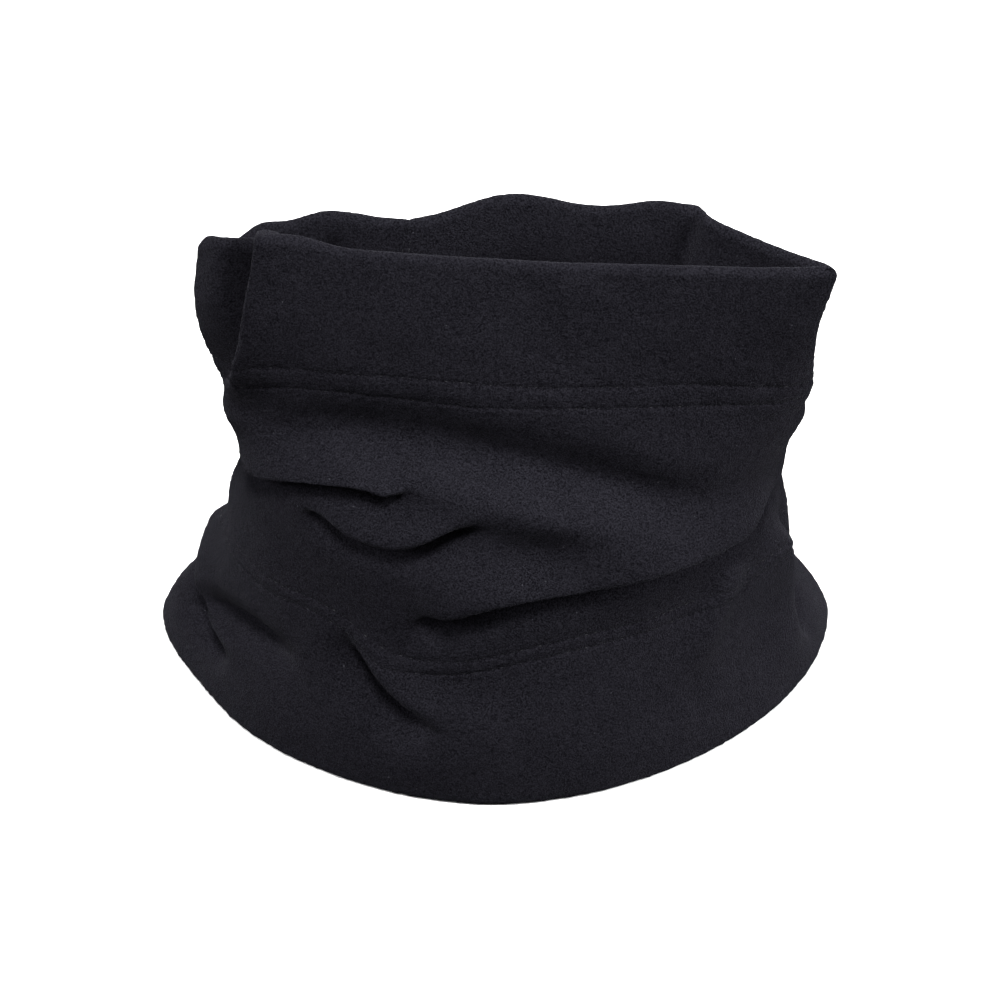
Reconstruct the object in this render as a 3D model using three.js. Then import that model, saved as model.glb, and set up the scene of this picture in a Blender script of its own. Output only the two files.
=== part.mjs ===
// A fleece neck gaiter standing on its lower hem: a tube of one fleece panel, flared at the
// collarbone end and pressed to a narrow mouth at the chin end, with a deep turned hem at each end.
// Each hem is an outer ply and an inner facing, held by a twin-needle seam with a looper thread
// inside. The panel is closed into a tube by one seam at the back. Millimetres, +Z up, front at -Y.
import * as THREE from "three";

// Driving dimensions
const MOUTH_HEIGHT = 200; // of the upper fold above the surface the gaiter stands on
const PLY = 2.5; // thickness of one layer of fleece
const GAP = 0.4; // clearance between pieces that touch
const TOP_HEM = { edge: 52, rows: [41, 50] }; // hem edge and stitch rows, measured down from the mouth
const BOTTOM_HEM = { edge: 67, rows: [65.5, 59.5] }; // hem edge and stitch rows, measured up from the base
const THREAD = 0.8; // thickness of a stitch row
const LOOPER_EXTRA = 3; // by which the looper thread is wider than its pair of stitch rows
const ROW_CLEARANCE = 8; // from a hem's stitch rows to the seam rows in its facing
const SEAM_ANGLE = 109; // degrees round from +X to the seam at the back
const SEAM_ALLOWANCE = 7; // width of the joined raw edges inside the wall
const SEAM_ROW_OFFSET = 0.75; // degrees from the seam to each of its two rows
const ANGLE_STEPS = 64;
const HEM_STEPS = 8;
const WALL_STEPS = 9;

// The outer outline at nine heights, from the fold on the ground, past the lower hem and the slumped
// middle, to the mouth. sideY is where the outline is widest; turn is how far the sides swing in Y.
const LEVELS = [
  { z: 0, centreX: 0, halfWidth: 127, sideY: 19, frontY: -88, backY: 88, power: 1.8, turn: 0 },
  { z: 14, centreX: 0, halfWidth: 121, sideY: 17, frontY: -87, backY: 82, power: 1.8, turn: 0 },
  { z: 32, centreX: 1, halfWidth: 110, sideY: 13, frontY: -83, backY: 74, power: 1.85, turn: 0 },
  { z: 61, centreX: 3, halfWidth: 104, sideY: 6, frontY: -74, backY: 62, power: 1.9, turn: 0 },
  { z: 97, centreX: 6, halfWidth: 95, sideY: -8, frontY: -74, backY: 40, power: 1.9, turn: 0 },
  { z: 122, centreX: 8, halfWidth: 98, sideY: -16, frontY: -66, backY: 19, power: 1.9, turn: -0.02 },
  { z: 148, centreX: 8, halfWidth: 101, sideY: -26, frontY: -56, backY: 0, power: 1.8, turn: -0.05 },
  { z: 178, centreX: 4, halfWidth: 103, sideY: -34, frontY: -49, backY: -9, power: 1.8, turn: -0.08 },
  { z: 200, centreX: 7, halfWidth: 105, sideY: -36, frontY: -44, backY: -6, power: 1.8, turn: -0.09 },
];

const FLEECE = { color: 0x212026, roughness: 0.95, metalness: 0 };
const THREAD_FINISH = { color: 0x17171b, roughness: 0.7, metalness: 0 };

// Slope of one property at level i, from its neighbours.
function slopeAt(name, i) {
  const before = LEVELS[Math.max(i - 1, 0)];
  const after = LEVELS[Math.min(i + 1, LEVELS.length - 1)];
  return (after[name] - before[name]) / (after.z - before.z);
}

// One property of the outline at height z, on a smooth curve through the levels.
function levelValue(name, z) {
  let i = 0;
  while (i < LEVELS.length - 2 && z > LEVELS[i + 1].z) i += 1;
  const low = LEVELS[i];
  const high = LEVELS[i + 1];
  const span = high.z - low.z;
  const t = (z - low.z) / span;
  const rise = t * t * (3 - 2 * t);
  const leave = span * slopeAt(name, i) * t * (1 - t) * (1 - t);
  const arrive = span * slopeAt(name, i + 1) * t * t * (t - 1);
  return low[name] + (high[name] - low[name]) * rise + leave + arrive;
}

// A point of the wall: an angle round the tube, a height, and a depth in from the outer face.
function wallPoint(angle, z, depth) {
  const power = 2 / levelValue("power", z);
  const cos = Math.cos(angle);
  const sin = Math.sin(angle);
  const sideY = levelValue("sideY", z);
  const reach = Math.abs(levelValue(sin < 0 ? "frontY" : "backY", z) - sideY);
  const fromCentre = (levelValue("halfWidth", z) - depth) * Math.sign(cos) * Math.abs(cos) ** power;
  const fromSide = (reach - depth) * Math.sign(sin) * Math.abs(sin) ** power;
  return new THREE.Vector3(
    levelValue("centreX", z) + fromCentre,
    sideY + fromSide + levelValue("turn", z) * fromCentre,
    z,
  );
}

// A closed solid: a section of (depth, z) points, counter-clockwise with depth to the left,
// carried round the tube from one angle to another, or all the way round. The ends of a part of a ring
// are closed between the outer and inner sides of its section, which have equal numbers of points.
function sweepSection(section, from = 0, to = 2 * Math.PI, steps = ANGLE_STEPS) {
  const wholeRing = to - from > 2 * Math.PI - 1e-6;
  const stations = wholeRing ? steps : steps + 1;
  const positions = [];
  for (let i = 0; i < stations; i += 1) {
    const angle = from + ((to - from) * i) / steps;
    for (const [depth, z] of section) positions.push(...wallPoint(angle, z, depth).toArray());
  }
  const count = section.length;
  const index = [];
  for (let i = 0; i < steps; i += 1) {
    const here = i * count;
    const next = ((i + 1) % stations) * count;
    for (let j = 0; j < count; j += 1) {
      const k = (j + 1) % count;
      index.push(here + j, next + j, next + k, here + j, next + k, here + k);
    }
  }
  if (!wholeRing) {
    const last = (stations - 1) * count;
    for (let j = 0; j < count / 2 - 1; j += 1) {
      const k = count - 1 - j;
      for (const [a, b, c] of [[j, j + 1, k - 1], [j, k - 1, k]]) {
        index.push(a, b, c, last + a, last + c, last + b);
      }
    }
  }
  const geometry = new THREE.BufferGeometry();
  geometry.setAttribute("position", new THREE.Float32BufferAttribute(positions, 3));
  geometry.setIndex(index);
  geometry.computeVertexNormals();
  return geometry;
}

// Heights from low to high in equal steps.
function heights(low, high, steps) {
  return Array.from({ length: steps + 1 }, (_, i) => low + ((high - low) * i) / steps);
}

// The section of a plain layer between two depths and two heights.
function layer(outer, inner, low, high, steps) {
  const rising = heights(low, high, steps);
  return [...rising.map((z) => [outer, z]), ...rising.reverse().map((z) => [inner, z])];
}

function fleece(name, geometry) {
  const mesh = new THREE.Mesh(geometry, new THREE.MeshStandardMaterial(FLEECE));
  mesh.name = name;
  return mesh;
}

function thread(name, geometry) {
  const mesh = new THREE.Mesh(geometry, new THREE.MeshStandardMaterial(THREAD_FINISH));
  mesh.name = name;
  return mesh;
}

const FACING = { outer: PLY + GAP, inner: 2 * PLY + GAP }; // depths of the inner ply of a hem

// The outer ply of the lower hem, with the fold that the gaiter stands on.
function bottomBand() {
  const outside = heights(0, BOTTOM_HEM.edge, HEM_STEPS).map((z) => [0, z]);
  const inside = heights(PLY, BOTTOM_HEM.edge, HEM_STEPS).map((z) => [PLY, z]);
  const fold = [[FACING.inner, PLY], [FACING.inner, 0]];
  return sweepSection([...outside, ...inside.reverse(), ...fold]);
}

// The outer ply of the upper hem, with the fold round the mouth.
function topBand() {
  const low = MOUTH_HEIGHT - TOP_HEM.edge;
  const outside = heights(low, MOUTH_HEIGHT, HEM_STEPS).map((z) => [0, z]);
  const inside = heights(low, MOUTH_HEIGHT - PLY, HEM_STEPS).map((z) => [PLY, z]);
  const fold = [[FACING.inner, MOUTH_HEIGHT], [FACING.inner, MOUTH_HEIGHT - PLY]];
  return sweepSection([...outside, ...fold, ...inside.reverse()]);
}

// The single layer between the two hems.
function middleWall() {
  const low = BOTTOM_HEM.edge + GAP;
  const high = MOUTH_HEIGHT - TOP_HEM.edge - GAP;
  return sweepSection(layer(0, PLY, low, high, WALL_STEPS));
}

// A row of needle stitches round the outside, centred on height z.
function needleRow(z) {
  return sweepSection(layer(-GAP - THREAD, -GAP, z - THREAD / 2, z + THREAD / 2, 1));
}

// The looper thread inside a hem, over the facing's raw edge.
function looperRow(rows) {
  const middle = (rows[0] + rows[1]) / 2;
  const half = (rows[0] - rows[1] + LOOPER_EXTRA) / 2;
  const face = FACING.inner + GAP;
  return sweepSection(layer(face, face + THREAD, middle - half, middle + half, 1));
}

// An upright strip over the seam at the back, between two depths and two heights.
function seamStrip(offsetDegrees, width, outer, inner, low, high, steps) {
  const centre = THREE.MathUtils.degToRad(SEAM_ANGLE + offsetDegrees);
  const half = width / 2 / levelValue("halfWidth", low);
  return sweepSection(layer(outer, inner, low, high, steps), centre - half, centre + half, 1);
}

// The two rows of the back seam where it crosses a hem's facing.
function seamRows(prefix, low, high) {
  const face = FACING.inner + GAP;
  return [["left", 1], ["right", -1]].map(([side, way]) =>
    thread(
      prefix + "_seam_row_" + side,
      seamStrip(way * SEAM_ROW_OFFSET, THREAD, face, face + THREAD, low, high, HEM_STEPS),
    ),
  );
}

const topRows = TOP_HEM.rows.map((down) => MOUTH_HEIGHT - down);
const topFacingEdge = MOUTH_HEIGHT - TOP_HEM.edge;
const seamAllowanceFoot = BOTTOM_HEM.edge + LOOPER_EXTRA;
const seamAllowanceFace = PLY + GAP;

const lowerEnd = new THREE.Group();
lowerEnd.add(
  fleece("bottom_band", bottomBand()),
  fleece(
    "bottom_hem_facing",
    sweepSection(layer(FACING.outer, FACING.inner, PLY + GAP, BOTTOM_HEM.edge, HEM_STEPS)),
  ),
  fleece("middle_wall", middleWall()),
  fleece(
    "back_seam_allowance",
    seamStrip(0, SEAM_ALLOWANCE, seamAllowanceFace, seamAllowanceFace + PLY,
      seamAllowanceFoot, topFacingEdge - GAP, WALL_STEPS),
  ),
  thread("bottom_stitch_row_upper", needleRow(BOTTOM_HEM.rows[0])),
  thread("bottom_stitch_row_lower", needleRow(BOTTOM_HEM.rows[1])),
  thread("bottom_looper_thread", looperRow(BOTTOM_HEM.rows)),
  ...seamRows("bottom", 2 * PLY, BOTTOM_HEM.rows[1] - ROW_CLEARANCE),
);

const upperEnd = new THREE.Group();
upperEnd.add(
  fleece("top_band", topBand()),
  fleece(
    "top_hem_facing",
    sweepSection(layer(FACING.outer, FACING.inner, topFacingEdge, MOUTH_HEIGHT - PLY - GAP, HEM_STEPS)),
  ),
  thread("top_stitch_row_upper", needleRow(topRows[0])),
  thread("top_stitch_row_lower", needleRow(topRows[1])),
  thread("top_looper_thread", looperRow(topRows)),
  ...seamRows("top", topRows[0] + ROW_CLEARANCE, MOUTH_HEIGHT - 2 * PLY),
);

const gaiter = new THREE.Group();
gaiter.add(lowerEnd, upperEnd);
export default gaiter;
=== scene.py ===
"""A black fleece neck gaiter standing on its lower hem, slumped into soft folds.

The cloth is one closed sheet: a panel sewn into a tube, with a deep hem turned inwards at each end.
Its shape is worked out in cloth coordinates, in millimetres: A goes round the tube, 0 at the front
middle and positive to the right, and V goes up the cloth, 0 at the fold on the ground.
"""

import bpy
import numpy as np
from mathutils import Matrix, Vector


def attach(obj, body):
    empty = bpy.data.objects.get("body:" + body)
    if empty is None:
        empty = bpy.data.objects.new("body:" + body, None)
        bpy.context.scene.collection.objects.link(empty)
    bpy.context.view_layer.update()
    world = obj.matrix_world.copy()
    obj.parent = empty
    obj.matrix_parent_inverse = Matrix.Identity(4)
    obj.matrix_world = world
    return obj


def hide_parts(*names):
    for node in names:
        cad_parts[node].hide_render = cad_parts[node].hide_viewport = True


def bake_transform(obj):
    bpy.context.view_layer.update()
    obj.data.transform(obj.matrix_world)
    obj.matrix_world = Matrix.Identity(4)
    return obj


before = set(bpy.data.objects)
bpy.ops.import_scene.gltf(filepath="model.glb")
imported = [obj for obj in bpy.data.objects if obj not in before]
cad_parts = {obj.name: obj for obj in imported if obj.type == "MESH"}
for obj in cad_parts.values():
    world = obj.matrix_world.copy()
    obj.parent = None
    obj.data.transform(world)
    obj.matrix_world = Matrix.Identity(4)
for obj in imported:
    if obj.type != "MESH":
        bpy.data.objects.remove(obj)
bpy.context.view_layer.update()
MM = 0.001

# The cloth
PLY = 2.5  # thickness of one layer of fleece
GAP = 0.4  # between the two layers of a hem
CLOTH_ROUND = 560.0  # nominal length round the tube
CLOTH_UP = 245.0  # outer face, from the fold on the ground to the fold at the mouth
BOTTOM_ROWS = (59.0, 65.0)  # V of the two needle rows of the lower hem
TOP_ROWS = (188.5, 198.0)  # V of the two needle rows of the upper hem
BOTTOM_RAW_EDGE = 67.0  # V of the raw edge inside the lower hem
TOP_RAW_EDGE = 186.5  # V of the raw edge inside the upper hem
SEAM_A = -236.0  # A of the seam at the back
FACING_FACE = 2 * PLY + GAP  # depth of the side of a facing that shows inside the tube
FACING_BACK = PLY + GAP  # depth of the side of a facing that lies on the wall

# The sewing
STITCH = 3.2  # length of a needle stitch with the gap after it
STITCH_SHARE = 0.8  # of that length which the thread covers
STITCH_POINTS = 5  # along each stitch
THREAD_RADIUS = 0.2
LOOPER_RADIUS = 0.22
CHAIN_RADIUS = 0.24
LOOPER_LIFT = 0.18  # of the looper thread's middle off the facing
ROW_WANDER = 0.35  # how far a needle row strays from its V
ROW_WANDER_WAVES = 5  # of that straying, round the tube
SEAM_ROW_OFFSET = 1.3  # of each row beside the seam, inside the hems
SEAM_ROW_END = 6.0  # from a hem's fold to the nearest stitch beside the seam
STRIP_START = -0.8  # from the seam to the near edge of its allowance
TUCK = 1.0  # from a facing's raw edge to the ends of the allowance and the seam rows in the hem

# The mesh
COLUMNS = 448
FINE_STEP = 0.5  # between rows near the stitches
PLAIN_STEP = 1.4  # between rows elsewhere
HIDDEN_STEP = 2.4  # between rows on the inside
FINE_REACH = 4.0  # how far from a needle row the rows stay fine
PILE_ROUGHNESS = 0.10  # how much the pile stands up or lies down from point to point
STEEPEST = 0.45  # cosine of the steepest slope at which the layer still keeps its thickness
GRIP_HEIGHT = 24.0  # up to here a column is shifted to stand on the ground
EDGE_ROUND = 0.35  # roundness of the raw edges
ARC_STEPS = 8  # rows round each fold

# The standing tube without its folds, at nine places up the cloth: V, height, middle in X, half
# width, Y of the sides, front and back, roundness of the outline, and how far the sides turn.
LEVELS = np.array([
    (0, 0, 0, 127, 19, -88, 88, 1.8, 0),
    (14, 14, 0, 121, 17, -87, 82, 1.8, 0),
    (32, 32, 1, 110, 13, -83, 74, 1.85, 0),
    (60, 61, 3, 104, 6, -74, 62, 1.9, 0),
    (105, 97, 6, 95, -8, -74, 40, 1.9, 0),
    (145, 122, 8, 98, -16, -66, 19, 1.9, -0.02),
    (186, 148, 8, 101, -26, -56, 0, 1.8, -0.05),
    (220, 178, 4, 103, -34, -49, -9, 1.8, -0.08),
    (245, 200, 7, 105, -36, -44, -6, 1.8, -0.09),
], float)
HEIGHT = 1  # its column in LEVELS
OUTLINE = range(2, 9)  # the columns that make the outline


# ---------------------------------------------------------------- the standing tube

def level(v, column):
    """One column of LEVELS at cloth height v, on a smooth curve through the levels."""
    at, value = LEVELS[:, 0], LEVELS[:, column]
    slope = np.empty(len(at))
    slope[1:-1] = (value[2:] - value[:-2]) / (at[2:] - at[:-2])
    slope[0] = (value[1] - value[0]) / (at[1] - at[0])
    slope[-1] = (value[-1] - value[-2]) / (at[-1] - at[-2])
    i = int(np.clip(np.searchsorted(at, v, "right") - 1, 0, len(at) - 2))
    span = at[i + 1] - at[i]
    t = (v - at[i]) / span
    low = value[i] * (1 + 2 * t) * (1 - t) ** 2 + span * slope[i] * t * (1 - t) ** 2
    high = value[i + 1] * t * t * (3 - 2 * t) + span * slope[i + 1] * t * t * (t - 1)
    return low + high


def outline(v, share):
    """The tube's outline at cloth height v. share runs from -0.5 to 0.5 round it, 0 in front."""
    centre, half, side, front, back, power, skew = (level(v, column) for column in OUTLINE)
    points = np.zeros((len(share), 2))
    angle = np.linspace(0, np.pi / 2, 200)
    right_half = [(1, front, 0, 0.25), (1, back, 0.25, 0.5)]
    left_half = [(-1, back, -0.5, -0.25), (-1, front, -0.25, 0)]
    for way, end, low, high in right_half + left_half:
        x = half * np.sin(angle) ** (2 / power)
        y = (end - side) * np.cos(angle) ** (2 / power)
        length = np.concatenate([[0], np.cumsum(np.hypot(np.diff(x), np.diff(y)))])
        length /= length[-1]
        here = (share >= low) & (share < high)
        from_middle = np.abs(share[here]) if end == front else 0.5 - np.abs(share[here])
        reach = from_middle / 0.25
        points[here, 0] = centre + way * np.interp(reach, length, x)
        points[here, 1] = side + np.interp(reach, length, y)
        points[here, 1] += skew * (points[here, 0] - centre)
    return points


def wrap(a):
    """A distance round the tube, brought to the shorter way round."""
    return (a + CLOTH_ROUND / 2) % CLOTH_ROUND - CLOTH_ROUND / 2


def directions(points, rows):
    """Unit vectors round the cloth, up the cloth and out of it, at each point of a grid."""
    around = np.roll(points, -1, 1) - np.roll(points, 1, 1)
    up = np.gradient(points, rows, axis=0)
    out = np.cross(around, up)
    out /= np.linalg.norm(out, axis=2, keepdims=True) + 1e-12
    around /= np.linalg.norm(around, axis=2, keepdims=True) + 1e-12
    return around, np.cross(out, around), out


# ---------------------------------------------------------------- folds drawn on the cloth

def smooth_path(corners, steps=12):
    """A smooth line through a few points of the cloth."""
    p = np.array(corners, float)
    p = np.vstack([2 * p[0] - p[1], p, 2 * p[-1] - p[-2]])
    line = []
    for i in range(1, len(p) - 2):
        for t in np.linspace(0, 1, steps, endpoint=False):
            turn = 2 * p[i - 1] - 5 * p[i] + 4 * p[i + 1] - p[i + 2]
            twist = -p[i - 1] + 3 * p[i] - 3 * p[i + 1] + p[i + 2]
            line.append(0.5 * (2 * p[i] + (p[i + 1] - p[i - 1]) * t + turn * t**2 + twist * t**3))
    line.append(p[-2])
    return np.array(line)


def from_path(corners, a, v):
    """Distance from a line on the cloth (positive on its left), share of the way along it, and the
    line's direction there."""
    line = smooth_path(corners)
    steps = line[1:] - line[:-1]
    lengths = np.hypot(*steps.T)
    nearest = np.full(a.shape, 1e9)
    signed, share, along_a, along_v = (np.zeros(a.shape) for _ in range(4))
    run = 0.0
    for start, step, length in zip(line[:-1], steps, lengths):
        da, dv = wrap(a - start[0]), v - start[1]
        t = np.clip((da * step[0] + dv * step[1]) / length**2, 0, 1)
        distance = np.hypot(da - t * step[0], dv - t * step[1])
        closer = distance < nearest
        nearest = np.where(closer, distance, nearest)
        side = np.sign(step[0] * dv - step[1] * da)
        signed = np.where(closer, side * distance, signed)
        share = np.where(closer, (run + t * length) / lengths.sum(), share)
        along_a = np.where(closer, step[0] / length, along_a)
        along_v = np.where(closer, step[1] / length, along_v)
        run += length
    return signed, share, along_a, along_v


def ease(t):
    """0 up to t = 0 and 1 from t = 1, with a smooth rise between."""
    t = np.clip(t, 0, 1)
    return t * t * (3 - 2 * t)


def fade_ends(share, ends):
    """0 at both ends of a line, rising to 1 over the given shares of it."""
    return ease(share / ends[0]) * ease((1 - share) / ends[1])


def bell(distance, reach):
    """1 at no distance, falling smoothly to nothing beyond the reach."""
    return np.exp(-(distance / reach) ** 2)


def push_and_pull(t):
    """A wave across a line: it rises to 1 at t = 1, falls to -1 at t = -1 and dies out beyond."""
    return t * np.exp(0.5 - 0.5 * t * t)


class Cloth:
    """The outer face of the gaiter on a grid of cloth coordinates."""

    def __init__(self, rows):
        share = np.arange(COLUMNS) / COLUMNS - 0.5
        self.rows = rows
        self.a, self.v = np.meshgrid(share * CLOTH_ROUND, rows)
        flat = [np.column_stack([outline(v, share), np.full(COLUMNS, level(v, HEIGHT))]) for v in rows]
        self.rest = np.array(flat)
        self.around, self.up, self.out = directions(self.rest, rows)
        self.moved = np.zeros_like(self.rest)

    def across(self, along_a, along_v):
        """The direction to the left of a line on the cloth."""
        return -along_v[..., None] * self.around + along_a[..., None] * self.up

    def lap(self, corners, over, out, under, width, ends, under_width=4.5):
        """Cloth on the left of the line laps over the cloth on its right by about `over`, and
        stands out by `out` while the other sinks by `under`. width is how far from the line the
        upper cloth moves most, and under_width the same for the cloth below it."""
        signed, share, along_a, along_v = from_path(corners, self.a, self.v)
        t = signed / np.where(signed > 0, width, under_width)
        wave = push_and_pull(t) * fade_ends(share, ends)
        self.moved -= (over * wave)[..., None] * self.across(along_a, along_v)
        self.moved += (np.where(wave > 0, out, under) * wave)[..., None] * self.out

    def groove(self, corners, depth, width, ends, pinch=0.0):
        """A valley along the line, or a ridge where depth is negative. pinch draws the cloth on its
        two sides together."""
        signed, share, along_a, along_v = from_path(corners, self.a, self.v)
        fade = fade_ends(share, ends)
        self.moved -= (depth * bell(signed, width) * fade)[..., None] * self.out
        pull = pinch * push_and_pull(signed / width) * fade
        self.moved -= pull[..., None] * self.across(along_a, along_v)

    def swell(self, a, v, reach_a, reach_v, shift=(0, 0, 0), out=0.0):
        """A soft patch round (a, v) that is shifted in X, Y and Z, or pushed out of the cloth."""
        patch = bell(wrap(self.a - a), reach_a) * bell(self.v - v, reach_v)
        self.moved += (out * patch)[..., None] * self.out + patch[..., None] * np.array(shift, float)

    def points(self):
        return self.rest + self.moved


def broad_shapes(cloth):
    """The sag of the hems, the outline of the sides, and the hollow and ridge across the front."""
    cloth.swell(-26, 62, 34, 26, (0, -3, -10.5))  # the lower hem's stitches dip in front
    cloth.swell(-64, 60, 18, 18, (0, 0.5, 4))
    cloth.swell(-98, 250, 14, 40, (0, 2, 5.5))  # the front's left corner stands highest
    cloth.swell(-159, 245, 13, 55, (0, -1, -12))  # the left end of the mouth sags
    cloth.swell(-146, 245, 12, 60, (0, -1, -4))
    cloth.swell(-182, 245, 14, 60, (0, 0, -5.5))
    cloth.swell(145, 196, 48, 38, (0, 0, -9))  # the upper hem's stitches drop towards the sides
    cloth.swell(-135, 196, 45, 30, (0, 0, -7))
    cloth.swell(-146, 212, 18, 22, (-2, 0, 0))  # the sides bulge and draw in down their outline
    cloth.swell(-130, 152, 20, 20, (-4, 0, 0))
    cloth.swell(140, 98, 30, 20, (2, 0, 0))
    cloth.swell(135, 88, 12, 10, (-2.5, 0, 0))
    cloth.swell(134, 176, 20, 16, (-2.5, 0, 0))
    hollow = [(-125, 161), (-95, 164), (-52, 168), (-8, 163), (28, 151), (75, 125), (105, 110)]
    cloth.groove(hollow, depth=9, width=16, ends=(0.25, 0.35))
    ridge = [(-110, 147), (-55, 152), (-12, 143), (20, 128), (60, 111), (95, 101)]
    cloth.groove(ridge, depth=-3.5, width=12, ends=(0.2, 0.4))
    brow = [(-112, 157), (-80, 161), (-52, 162), (-10, 153), (24, 139), (52, 126)]
    cloth.groove(brow, depth=1.2, width=5, ends=(0.3, 0.4))
    cloth.swell(10, 110, 24, 13, out=-5)


def slumped_middle(cloth):
    """Two short laps at the left of the front and the long one over the lower hem."""
    left_lap = [(-136, 109), (-112, 126), (-91, 138), (-70, 145), (-56, 145), (-44, 139)]
    cloth.lap(left_lap, over=6, out=4.5, under=8, width=6.5, ends=(0.3, 0.1), under_width=6)
    left_pocket = [(-76, 140.5), (-65, 140), (-56, 138), (-50, 134.5)]
    cloth.groove(left_pocket, depth=9, width=4.8, ends=(0.5, 0.15))
    crescent = [(-92, 113), (-76, 116), (-60, 113), (-45, 114), (-32, 120), (-19, 127), (-4, 130)]
    cloth.lap(crescent, over=4.5, out=3, under=9, width=6, ends=(0.3, 0.45), under_width=6)
    long_lap = [
        (-38, 77.5), (-24, 84.5), (-8, 90), (16, 93.5),
        (53, 97), (84, 98), (108, 100), (126, 102),
    ]
    cloth.lap(long_lap, over=7.5, out=5.5, under=8.5, width=9, ends=(0.12, 0.2), under_width=6)


def front_edge(cloth):
    """The left edge of the front of the upper hem, lapping over the side that folds in behind it."""
    edge = [(-109, 270), (-109, 246), (-110, 232), (-115, 215), (-123, 200), (-131, 186), (-138, 174)]
    cloth.lap(edge, over=6.5, out=7.5, under=5, width=9, ends=(0.01, 0.4), under_width=6)
    cloth.swell(-128, 225, 8, 42, (0, -4, 1.5))
    cloth.swell(-114, 235, 7, 40, (0, 3, -5))
    cloth.swell(-160, 235, 22, 40, (0, 10, 0))


def flared_hem(cloth):
    """The folds of the lower hem: an ear at the left, a crease beside it, a pocket left of the
    middle, and a lap and a ridge at the right."""
    ear = [(-150, 60), (-141, 45), (-130, 33), (-117, 26), (-103, 22), (-90, 18)]
    cloth.lap(ear, over=5.5, out=4, under=8, width=7, ends=(0.15, 0.5), under_width=6)
    ear_pocket = [(-130, 29), (-118, 23), (-106, 20), (-92, 18)]
    cloth.groove(ear_pocket, depth=7, width=4, ends=(0.4, 0.5))
    cloth.swell(-146, 60, 22, 13, (4, 0, 0))
    cloth.swell(-182, 8, 28, 34, (3, -4, 0))
    cloth.swell(-105, 5, 22, 20, (2.5, 2, 0))
    right_lap = [(116, 6), (117, 25), (121, 41), (122, 59), (121, 84)]
    cloth.lap(right_lap, over=5, out=5, under=5, width=9, ends=(0.3, 0.3))
    pocket = [(-58, 62), (-47, 54), (-35, 45), (-22, 36), (-12, 30)]
    cloth.lap(pocket, over=2.5, out=2.5, under=9, width=6, ends=(0.35, 0.45), under_width=6)
    side_crease = [(-126, 33), (-108, 35.5), (-93, 37.5), (-78, 38), (-64, 37)]
    cloth.groove(side_crease, depth=10, width=5, ends=(0.2, 0.5), pinch=0.5)
    right_ridge = [(93, 80), (80, 60), (71, 46), (62, 32)]
    cloth.groove(right_ridge, depth=-4, width=6, ends=(0.3, 0.4), pinch=-1.5)


def mouth(cloth):
    """The waves at the back of the mouth, with a narrow ridge towards each end."""
    cloth.swell(-236, 245, 30, 60, (0, -6, -3))
    cloth.swell(215, 245, 22, 50, (0, 4, 4))
    cloth.swell(162, 245, 16, 40, (0, -2, -0.5))
    cloth.swell(-278, 245, 25, 50, (0, 2, 3))
    right_end = [(204, 275), (203, 225), (198, 195)]
    cloth.groove(right_end, depth=-3.5, width=6, ends=(0.01, 0.3), pinch=1)
    left_end = [(-205, 240), (-206, 215), (-200, 190)]
    cloth.groove(left_end, depth=-3, width=8, ends=(0.2, 0.3), pinch=1)


def drape(cloth):
    """Every fold of the slumped gaiter."""
    broad_shapes(cloth)
    slumped_middle(cloth)
    front_edge(cloth)
    flared_hem(cloth)
    mouth(cloth)


# ---------------------------------------------------------------- sewing and small unevenness

def ripples(a, v, seed, count, shortest, longest):
    """Gentle unevenness: waves of many directions and lengths, which join up round the tube."""
    draw = np.random.default_rng(seed)
    total = np.zeros(a.shape)
    for _ in range(count):
        length = draw.uniform(shortest, longest)
        turn = draw.uniform(0, np.pi)
        round_waves = round(np.cos(turn) * CLOTH_ROUND / length)
        up_waves = np.sin(turn) / length
        start = draw.uniform(0, 2 * np.pi)
        total += np.sin(2 * np.pi * (round_waves * a / CLOTH_ROUND + up_waves * v) + start)
    return total / np.sqrt(count)


def stitch_line(row, a):
    """V of a needle row at A, as it strays a little up and down."""
    return row + ROW_WANDER * np.sin(2 * np.pi * ROW_WANDER_WAVES * a / CLOTH_ROUND + row)


def sewn_relief(a, v):
    """How far the sewing pulls the outer face in or lets it puff out."""
    relief = np.zeros(a.shape)
    for low, high in (BOTTOM_ROWS, TOP_ROWS):
        for row in (low, high):
            from_row = v - stitch_line(row, a)
            relief -= 0.30 * bell(from_row, 0.8) + 0.10 * bell(from_row, 2.2)
        relief += 0.15 * bell(v - (low + high) / 2, 2.4)  # the strip between the two rows puffs out
    seam = wrap(a - SEAM_A)
    relief -= 0.9 * bell(seam, 1.1) + 0.5 * bell(seam, 4.0)
    return relief


def puckers(a, v):
    """Short waves along the needle rows and the back seam, where the thread gathers the cloth."""
    round_waves = ripples(a, 0 * v, seed=11, count=7, shortest=5, longest=14)
    hems = sum(bell(v - row, 3.2) for row in BOTTOM_ROWS + TOP_ROWS)
    up_waves = np.sin(2 * np.pi * v / 9.0) + 0.6 * np.sin(2 * np.pi * v / 14.3 + 1)
    seam = bell(wrap(a - SEAM_A), 6.0)
    return 0.16 * round_waves * hems + 0.22 * up_waves * seam


# ---------------------------------------------------------------- from the outer face to a sheet

def gaussian(sigma):
    """Reach of a Gaussian blur, in steps of a grid, and the weights from -reach to reach."""
    reach = int(3 * sigma) + 1
    weights = np.exp(-0.5 * (np.arange(-reach, reach + 1) / sigma) ** 2)
    return reach, weights / weights.sum()


def blur_rows(values, sigma):
    """Gaussian blur up and down a grid, in rows."""
    reach, weights = gaussian(sigma)
    padded = np.pad(values, ((reach, reach), (0, 0), (0, 0)), mode="edge")
    return sum(w * padded[i:i + len(values)] for i, w in enumerate(weights))


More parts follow.
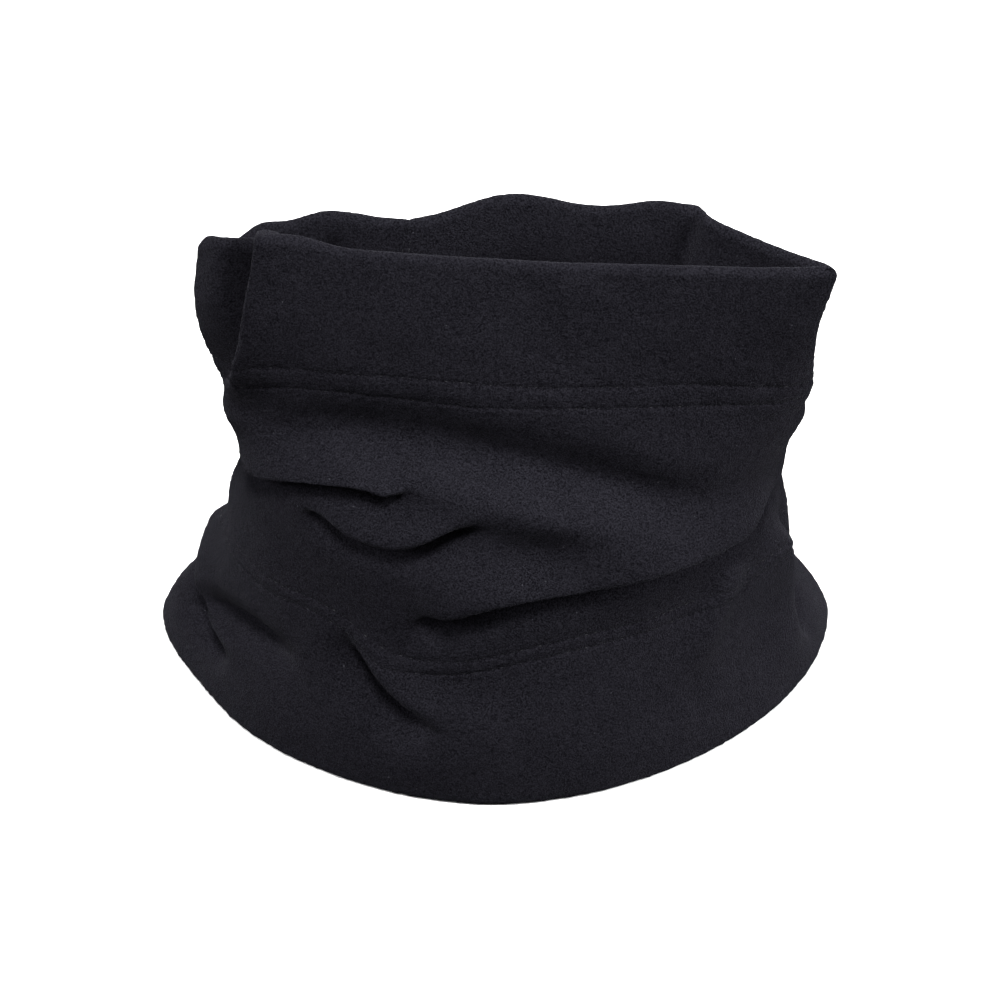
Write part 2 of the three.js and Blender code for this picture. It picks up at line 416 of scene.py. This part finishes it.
def blur_columns(values, sigma):
    """Gaussian blur round a grid, in columns."""
    reach, weights = gaussian(sigma)
    return sum(w * np.roll(values, i - reach, 1) for i, w in enumerate(weights))


def unit(vectors):
    """The vectors at length 1."""
    return vectors / (np.linalg.norm(vectors, axis=-1, keepdims=True) + 1e-12)


def cloth_rows():
    """V of every row of the grid: close together near the stitches."""
    rows = [0.0]
    sewn = BOTTOM_ROWS + TOP_ROWS
    while rows[-1] < CLOTH_UP:
        near = min(abs(rows[-1] - row) for row in sewn)
        rows.append(rows[-1] + (FINE_STEP if near < FINE_REACH else PLAIN_STEP))
    rows[-1] = CLOTH_UP
    return np.array(rows)


class Shape:
    """The draped outer face with its directions, ready to be sampled at any place and depth."""

    def __init__(self):
        cloth = Cloth(cloth_rows())
        drape(cloth)
        self.rows = cloth.rows
        broad = cloth.points()
        _, _, out = directions(broad, self.rows)
        a, v = cloth.a, cloth.v
        rolling = 0.32 * ripples(a, v, seed=3, count=14, shortest=28, longest=80)
        rumpled = 0.08 * ripples(a, v, seed=5, count=24, shortest=9, longest=24)
        grounded = ease(v / 12)  # no unevenness where the cloth meets the ground
        broad = broad + ((rolling + rumpled) * grounded)[..., None] * out
        # the inside follows a softer copy of the outer face
        soft = blur_columns(blur_rows(broad, 1.2), 1.4)
        # and lies deeper where the cloth is steep, so that the layer keeps its thickness
        _, _, facing = directions(soft, self.rows)
        slope = np.clip((facing * cloth.out).sum(axis=2, keepdims=True), STEEPEST, 1)
        self.up, self.out = cloth.up, cloth.out / blur_columns(blur_rows(slope, 2), 2)
        pile = np.random.default_rng(7).normal(0, PILE_ROUGHNESS, a.shape)
        sharp = (sewn_relief(a, v) + puckers(a, v) + pile)[..., None] * out
        self.outer = broad + sharp
        self.soft = soft + 0.5 * sharp

    def row_index(self, v):
        return int(np.argmin(np.abs(self.rows - v)))

    def at(self, a, v, depth):
        """Points at places of the cloth, at a depth in from the outer face."""
        column = (np.asarray(a, float) / CLOTH_ROUND + 0.5) % 1.0 * COLUMNS
        row = np.interp(v, self.rows, np.arange(len(self.rows)))
        i, j = np.floor(row).astype(int), np.floor(column).astype(int)
        i = np.minimum(i, len(self.rows) - 2)
        fi, fj = (row - i)[..., None], (column - j)[..., None]

        def mix(grid):
            low = grid[i, j % COLUMNS] * (1 - fj) + grid[i, (j + 1) % COLUMNS] * fj
            high = grid[i + 1, j % COLUMNS] * (1 - fj) + grid[i + 1, (j + 1) % COLUMNS] * fj
            return low * (1 - fi) + high * fi

        face = self.outer if np.max(depth) <= 0.5 * PLY else self.soft
        return mix(face) - mix(self.out) * np.asarray(depth, float)[..., None]


def fold_arc(shape, row, radius, way):
    """Rows round a fold, from the wall to the facing. way is 1 at the mouth and -1 at the base."""
    centre = PLY + GAP / 2
    rows = []
    for angle in np.linspace(0, np.pi, ARC_STEPS + 2)[1:-1]:
        depth = centre - radius * np.cos(angle)
        lift = way * radius * np.sin(angle)
        rows.append(shape.outer[row] + lift * shape.up[row] - depth * shape.out[row])
    return rows


def level_row(shape, v, depth):
    """One row of a hidden face, at one height and one depth."""
    a = (np.arange(COLUMNS) / COLUMNS - 0.5) * CLOTH_ROUND
    return shape.at(a, np.full(COLUMNS, v), np.full(COLUMNS, depth))


def inner_rows(shape, low, high, depth):
    """Rows of a hidden face from low to high, at one depth and coarser than the outer face."""
    steps = max(2, round((high - low) / HIDDEN_STEP))
    return [level_row(shape, v, depth) for v in np.linspace(low, high, steps + 1)]


def settle(points):
    """Brings each column down or up so that it just touches the ground, fading out above it."""
    lowest = points[..., 2].min(axis=0)
    grip = np.clip(1 - points[..., 2] / GRIP_HEIGHT, 0, 1) ** 2
    points[..., 2] -= lowest * grip
    points[..., 2] = np.maximum(points[..., 2], 0.0)
    return points


def panel_section(shape):
    """The rows of the closed sheet: up the outer face, over the mouth, down its facing to the raw
    edge, and back along the other side of the cloth."""
    turn = 1.15 * PLY  # from each fold to where its arc begins
    low = shape.row_index(turn)
    high = shape.row_index(CLOTH_UP - turn)
    low_v, high_v = shape.rows[low], shape.rows[high]
    outer_radius = PLY + GAP / 2
    inner_radius = GAP / 2
    edge_depth = (FACING_FACE + FACING_BACK) / 2
    rows = [shape.outer[i] for i in range(low, high + 1)]
    rows += fold_arc(shape, high, outer_radius, 1)
    rows += inner_rows(shape, TOP_RAW_EDGE, high_v, FACING_FACE)[::-1]
    rows.append(level_row(shape, TOP_RAW_EDGE - EDGE_ROUND, edge_depth))
    rows += inner_rows(shape, TOP_RAW_EDGE, high_v, FACING_BACK)
    rows += fold_arc(shape, high, inner_radius, 1)[::-1]
    rows += inner_rows(shape, low_v, high_v, PLY)[::-1]
    rows += fold_arc(shape, low, inner_radius, -1)
    rows += inner_rows(shape, low_v, BOTTOM_RAW_EDGE, FACING_BACK)
    rows.append(level_row(shape, BOTTOM_RAW_EDGE + EDGE_ROUND, edge_depth))
    rows += inner_rows(shape, low_v, BOTTOM_RAW_EDGE, FACING_FACE)[::-1]
    rows += fold_arc(shape, low, outer_radius, -1)[::-1]
    return settle(np.array(rows))


def mesh_object(name, vertices, faces, material):
    """A smooth-shaded object from points in millimetres, which keeps its rest place for materials."""
    mesh = bpy.data.meshes.new(name)
    metres = np.asarray(vertices, float) * MM
    mesh.from_pydata(metres.tolist(), [], [list(f) for f in faces])
    mesh.update()
    rest = mesh.attributes.new("rest", "FLOAT_VECTOR", "POINT")
    rest.data.foreach_set("vector", metres.astype(np.float32).ravel())
    mesh.polygons.foreach_set("use_smooth", np.ones(len(mesh.polygons), bool))
    mesh.materials.append(material)
    piece = bpy.data.objects.new(name, mesh)
    bpy.context.scene.collection.objects.link(piece)
    return piece


def grid_faces(rows, columns, close_rows, close_columns):
    """Quads of a grid whose points run along its columns first."""
    i = np.arange(rows if close_rows else rows - 1)
    j = np.arange(columns if close_columns else columns - 1)
    i, j = (x.ravel() for x in np.meshgrid(i, j, indexing="ij"))
    ni, nj = (i + 1) % rows, (j + 1) % columns
    return np.column_stack([i * columns + j, i * columns + nj, ni * columns + nj, ni * columns + j])


def make_fleece(shape, material):
    """The whole panel as one closed sheet."""
    points = panel_section(shape)
    faces = grid_faces(len(points), COLUMNS, True, True)
    return mesh_object("fleece_panel", points.reshape(-1, 3), faces, material)


# ---------------------------------------------------------------- thread

def closed_faces(rings, sides):
    """Faces of a tube of rings, with both its ends closed."""
    faces = [tuple(f) for f in grid_faces(rings, sides, False, True)]
    last = (rings - 1) * sides
    faces.append(tuple(range(sides))[::-1])
    faces.append(tuple(last + k for k in range(sides)))
    return faces


def tube(line, radius, sides=6):
    """Points and faces of a closed thread along a line, with tapered ends."""
    line = np.asarray(line, float)
    ahead = unit(np.gradient(line, axis=0))
    askew = np.array([0.31, 0.17, 0.93])  # a direction that no thread runs in
    side = unit(np.cross(ahead, askew))
    up = np.cross(side, ahead)
    angle = np.arange(sides) * 2 * np.pi / sides
    ring = np.cos(angle)[None, :, None] * side[:, None] + np.sin(angle)[None, :, None] * up[:, None]
    thickness = np.full(len(line), radius)
    thickness[[0, -1]] *= 0.35  # the tapered ends
    points = (line[:, None] + thickness[:, None, None] * ring).reshape(-1, 3)
    return points, closed_faces(len(line), sides)


def join(parts):
    """One list of points and faces from several."""
    points, faces, count = [], [], 0
    for part_points, part_faces in parts:
        points.append(part_points)
        faces += [tuple(count + k for k in face) for face in part_faces]
        count += len(part_points)
    return np.vstack(points), faces


def stitch_dip(depth):
    """How far each point of a stitch dips below its middle, where the needle pulled its ends in."""
    return depth * np.linspace(-1, 1, STITCH_POINTS) ** 2


def needle_row(name, shape, row, material):
    """A row of needle stitches round the outside, sunk in its groove."""
    count = round(CLOTH_ROUND / STITCH)
    parts = []
    for k in range(count):
        start = -CLOTH_ROUND / 2 + k * CLOTH_ROUND / count
        a = start + np.linspace(0, STITCH_SHARE, STITCH_POINTS) * CLOTH_ROUND / count
        line = shape.at(a, stitch_line(row, a), 0.14 + stitch_dip(0.30))
        parts.append(tube(line, THREAD_RADIUS))
    return mesh_object(name, *join(parts), material)


def looper_thread(name, shape, rows, material):
    """The thread inside a hem, on its facing: one line that loops from needle row to needle row, and
    a chain along each row."""
    count = round(CLOTH_ROUND / STITCH)
    depth = FACING_FACE + LOOPER_LIFT
    steps = 10  # points in each loop
    lean = 0.28  # of a loop forwards and back, in stitches
    half = (rows[1] - rows[0]) / 2 + 0.4  # the loops reach a little past both rows
    t = np.arange(count * steps) / steps
    a = -CLOTH_ROUND / 2 + (t + lean * np.sin(4 * np.pi * t)) * CLOTH_ROUND / count
    v = sum(rows) / 2 + half * np.sin(2 * np.pi * t)
    loops = shape.at(a, v, depth + 0.12 * np.cos(2 * np.pi * t))
    parts = [tube(loops, LOOPER_RADIUS)]
    for row in rows:
        a = np.linspace(-CLOTH_ROUND / 2, CLOTH_ROUND / 2, count * 6, endpoint=False)
        v = row + 0.3 * np.sin(2 * np.pi * count * a / CLOTH_ROUND)
        chain = shape.at(a, v, np.full(a.shape, depth + 0.1))
        parts.append(tube(chain, CHAIN_RADIUS))
    return mesh_object(name, *join(parts), material)


def seam_row(name, shape, side, low, high, material):
    """A row of stitches up the seam at the back, on the inside of a hem."""
    count = round((high - low) / STITCH)
    a = np.full(STITCH_POINTS, SEAM_A + side * SEAM_ROW_OFFSET)
    parts = []
    for k in range(count):
        v = low + (k + np.linspace(0, STITCH_SHARE, STITCH_POINTS)) * (high - low) / count
        line = shape.at(a, v, FACING_FACE - 0.05 - stitch_dip(0.25))
        parts.append(tube(line, THREAD_RADIUS))
    return mesh_object(name, *join(parts), material)


def seam_allowance(shape, low, high, material):
    """The two joined raw edges, pressed to one side on the inside of the single-layer wall."""
    # round the strip's section: the distance from its near edge, and the lift off the wall
    section = [
        (0.0, 0.25), (0.15, 1.9), (0.8, 2.5), (3.2, 2.3),
        (6.2, 2.1), (6.9, 1.5), (7.0, 0.8), (6.6, 0.25),
    ]
    v = np.arange(low, high, 1.5)
    sides = []
    for across, lift in section:
        a = SEAM_A + STRIP_START + across + 0.25 * np.sin(v / 4.0 + across)
        sides.append(shape.at(a, v, PLY + lift + 0.15 * np.sin(v / 5.5)))
    points = np.array(sides).transpose(1, 0, 2).reshape(-1, 3)
    return mesh_object("seam_allowance_fleece", points, closed_faces(len(v), len(section)), material)


def overlock_thread(shape, low, high, material):
    """The thread that binds the seam's raw edges: a long zigzag over the strip."""
    length = 2.6  # of each zigzag
    margin = 1.5  # from each end of the strip
    t = np.arange(round((high - low) / length) * 8) / 8
    v = low + margin + t * length
    v = v[v < high - margin]
    swing = np.sin(2 * np.pi * t[:len(v)])
    a = SEAM_A + STRIP_START + 4.6 + 2.6 * swing
    lift = 2.55 - 0.9 * np.clip(swing, 0, 1) ** 3
    line = shape.at(a, v, PLY + lift)
    return mesh_object("overlock_thread", *tube(line, LOOPER_RADIUS), material)


# ---------------------------------------------------------------- materials

class Nodes:
    """A material's node tree with short ways to add to it."""

    def __init__(self, name):
        self.material = bpy.data.materials.new(name)
        self.material.use_nodes = True
        self.tree = self.material.node_tree
        self.shader = self.tree.nodes["Principled BSDF"]

    def add(self, kind, **settings):
        node = self.tree.nodes.new(kind)
        for key, value in settings.items():
            setattr(node, key, value)
        return node

    def link(self, source, target):
        self.tree.links.new(source, target)

    def place(self):
        """The cloth's place at rest, so that the pattern stays on it when it moves."""
        return self.add("ShaderNodeAttribute", attribute_name="rest").outputs["Vector"]

    def noise(self, place, scale, detail=2.0, roughness=0.5):
        node = self.add("ShaderNodeTexNoise")
        node.inputs["Scale"].default_value = scale
        node.inputs["Detail"].default_value = detail
        node.inputs["Roughness"].default_value = roughness
        self.link(place, node.inputs["Vector"])
        return node.outputs["Fac"]

    def remap(self, value, low, high, new_low, new_high):
        node = self.add("ShaderNodeMapRange")
        node.inputs["From Min"].default_value = low
        node.inputs["From Max"].default_value = high
        node.inputs["To Min"].default_value = new_low
        node.inputs["To Max"].default_value = new_high
        self.link(value, node.inputs["Value"])
        return node.outputs["Result"]

    def maths(self, operation, first, second):
        node = self.add("ShaderNodeMath", operation=operation)
        for socket, value in zip(node.inputs, (first, second)):
            if isinstance(value, (int, float)):
                socket.default_value = value
            else:
                self.link(value, socket)
        return node.outputs[0]

    def blend_colours(self, factor, first, second):
        node = self.add("ShaderNodeMix", data_type="RGBA")
        self.link(factor, node.inputs["Factor"])
        for socket, value in ((node.inputs["A"], first), (node.inputs["B"], second)):
            if isinstance(value, tuple):
                socket.default_value = (*value, 1)
            else:
                self.link(value, socket)
        return node.outputs["Result"]

    def bump(self, height, distance, strength=1.0, under=None):
        node = self.add("ShaderNodeBump")
        node.inputs["Strength"].default_value = strength
        node.inputs["Distance"].default_value = distance
        self.link(height, node.inputs["Height"])
        if under is not None:
            self.link(under, node.inputs["Normal"])
        return node.outputs["Normal"]


def fleece_material():
    """Brushed microfleece: a near-black pile of tiny clumps, with a faint bloom where it is seen
    edge on, and a few specks of lint."""
    n = Nodes("brushed_black_fleece")
    place = n.place()
    clumps = n.noise(place, 1700, 2, 0.6)
    fibres = n.noise(place, 3600, 2, 0.6)
    patches = n.noise(place, 55, 3, 0.55)
    grain = n.maths("ADD", n.remap(clumps, 0.36, 0.64, 0, 0.65), n.remap(fibres, 0.34, 0.66, 0, 0.35))
    tone = n.maths("ADD", grain, n.remap(patches, 0.35, 0.65, -0.03, 0.03))
    colour = n.blend_colours(tone, (0.0003, 0.0003, 0.0006), (0.0138, 0.0134, 0.0172))
    lint_spots = n.remap(n.noise(place, 900, 0, 0.5), 0.87, 0.90, 0, 0.24)
    colour = n.blend_colours(lint_spots, colour, (0.10, 0.10, 0.115))
    n.link(colour, n.shader.inputs["Base Color"])
    n.link(n.remap(clumps, 0.3, 0.7, 1.0, 0.88), n.shader.inputs["Roughness"])
    fine = n.bump(fibres, 0.25 * MM, 0.7)
    n.link(n.bump(clumps, 0.7 * MM, 0.8, fine), n.shader.inputs["Normal"])
    n.shader.inputs["Specular IOR Level"].default_value = 0.0
    n.shader.inputs["Sheen Weight"].default_value = 0.05
    n.shader.inputs["Sheen Roughness"].default_value = 0.25
    n.shader.inputs["Sheen Tint"].default_value = (0.62, 0.62, 0.70, 1)
    return n.material


def thread_material():
    """Black polyester sewing thread, twisted and a little glossy."""
    n = Nodes("black_polyester_thread")
    place = n.place()
    twist = n.noise(place, 2200, 2, 0.5)
    colour = n.blend_colours(twist, (0.004, 0.004, 0.005), (0.012, 0.012, 0.015))
    n.link(colour, n.shader.inputs["Base Color"])
    n.link(n.remap(twist, 0.3, 0.7, 0.62, 0.42), n.shader.inputs["Roughness"])
    n.link(n.bump(twist, 0.12 * MM), n.shader.inputs["Normal"])
    n.shader.inputs["Specular IOR Level"].default_value = 0.2
    return n.material


def floor_material():
    """Matt white, very slightly speckled."""
    n = Nodes("white_floor")
    speckle = n.noise(n.place(), 30, 2)
    colour = n.blend_colours(speckle, (0.84, 0.84, 0.84), (0.87, 0.87, 0.87))
    n.link(colour, n.shader.inputs["Base Color"])
    n.shader.inputs["Roughness"].default_value = 0.9
    n.shader.inputs["Specular IOR Level"].default_value = 0.0
    return n.material


# ---------------------------------------------------------------- floor, light and camera

def make_floor():
    """A plain pale floor, 12 m across."""
    half = 6000.0
    corners = [(-half, -half, 0), (half, -half, 0), (half, half, 0), (-half, half, 0)]
    floor = mesh_object("floor", corners, [(0, 1, 2, 3)], floor_material())
    floor.visible_diffuse = False  # its glow would fill the folds of the black cloth
    floor.visible_glossy = False


def area_light(name, place, aim, size, power):
    """A round softbox of a size in metres and a power in watts, turned to its aim."""
    light = bpy.data.lights.new(name, "AREA")
    light.shape = "DISK"
    light.size = size
    light.energy = power
    lamp = bpy.data.objects.new(name, light)
    lamp.location = place
    lamp.rotation_euler = (Vector(aim) - Vector(place)).to_track_quat("-Z", "Y").to_euler()
    bpy.context.scene.collection.objects.link(lamp)


def make_light():
    """Soft light from above, both sides and behind, and a dim white surround."""
    middle = (0, 0, 0.1)
    area_light("softbox_above", (-0.05, -0.85, 1.90), middle, 0.6, 76)
    area_light("softbox_left", (-1.50, -0.35, 0.90), middle, 0.8, 31)
    area_light("softbox_right", (1.50, -0.40, 0.90), middle, 0.8, 64)
    area_light("softbox_behind", (0.25, 1.60, 0.90), middle, 1.0, 40)
    world = bpy.data.worlds.new("studio")
    world.use_nodes = True
    world.node_tree.nodes["Background"].inputs["Color"].default_value = (1, 1, 1, 1)
    world.node_tree.nodes["Background"].inputs["Strength"].default_value = 0.18
    bpy.context.scene.world = world
    bpy.context.scene.view_settings.view_transform = "Standard"


def make_camera():
    """A long lens, looking down from in front."""
    elevation = np.radians(38)
    distance = 1.1
    aim = Vector((0.002, -0.027, 0.090))
    back = Vector((0, -np.cos(elevation), np.sin(elevation)))
    camera = bpy.data.cameras.new("camera")
    camera.sensor_width = 36
    camera.lens = 113.14
    camera.clip_start = 0.01
    eye = bpy.data.objects.new("camera", camera)
    eye.location = aim + back * distance
    eye.rotation_euler = (-back).to_track_quat("-Z", "Y").to_euler()
    bpy.context.scene.collection.objects.link(eye)
    bpy.context.scene.camera = eye


# ---------------------------------------------------------------- the gaiter


def thread_piece(piece, node, body):
    """A thread that stands for its CAD node and rides on that node's body."""
    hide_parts(node)
    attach(piece, body)


def make_gaiter():
    """The fleece panel, the allowance of its seam, and the threads of its hems."""
    shape = Shape()
    fleece, thread = fleece_material(), thread_material()

    panel = make_fleece(shape, fleece)
    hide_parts("bottom_band", "bottom_hem_facing", "middle_wall", "top_band", "top_hem_facing")

    strip = (BOTTOM_RAW_EDGE - TUCK, TOP_RAW_EDGE + TUCK)
    allowance = seam_allowance(shape, *strip, fleece)
    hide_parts("back_seam_allowance")
    overlock = overlock_thread(shape, *strip, thread)
    for piece in (panel, allowance, overlock):
        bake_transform(piece)

    hems = {
        "bottom": ("lower_end", BOTTOM_ROWS, (SEAM_ROW_END, BOTTOM_RAW_EDGE - TUCK)),
        "top": ("upper_end", TOP_ROWS, (TOP_RAW_EDGE + TUCK, CLOTH_UP - SEAM_ROW_END)),
    }
    for end, (body, rows, span) in hems.items():
        for place, row in zip(("lower", "upper"), rows):
            name = f"{end}_stitch_row_{place}"
            piece = needle_row(f"{end}_needle_stitches_{place}", shape, row, thread)
            thread_piece(piece, name, body)
        piece = looper_thread(f"{end}_looper_chain", shape, rows, thread)
        thread_piece(piece, f"{end}_looper_thread", body)
        for place, side in (("left", -1), ("right", 1)):
            piece = seam_row(f"{end}_seam_stitches_{place}", shape, side, *span, thread)
            thread_piece(piece, f"{end}_seam_row_{place}", body)


make_camera()
make_floor()
make_light()
make_gaiter()
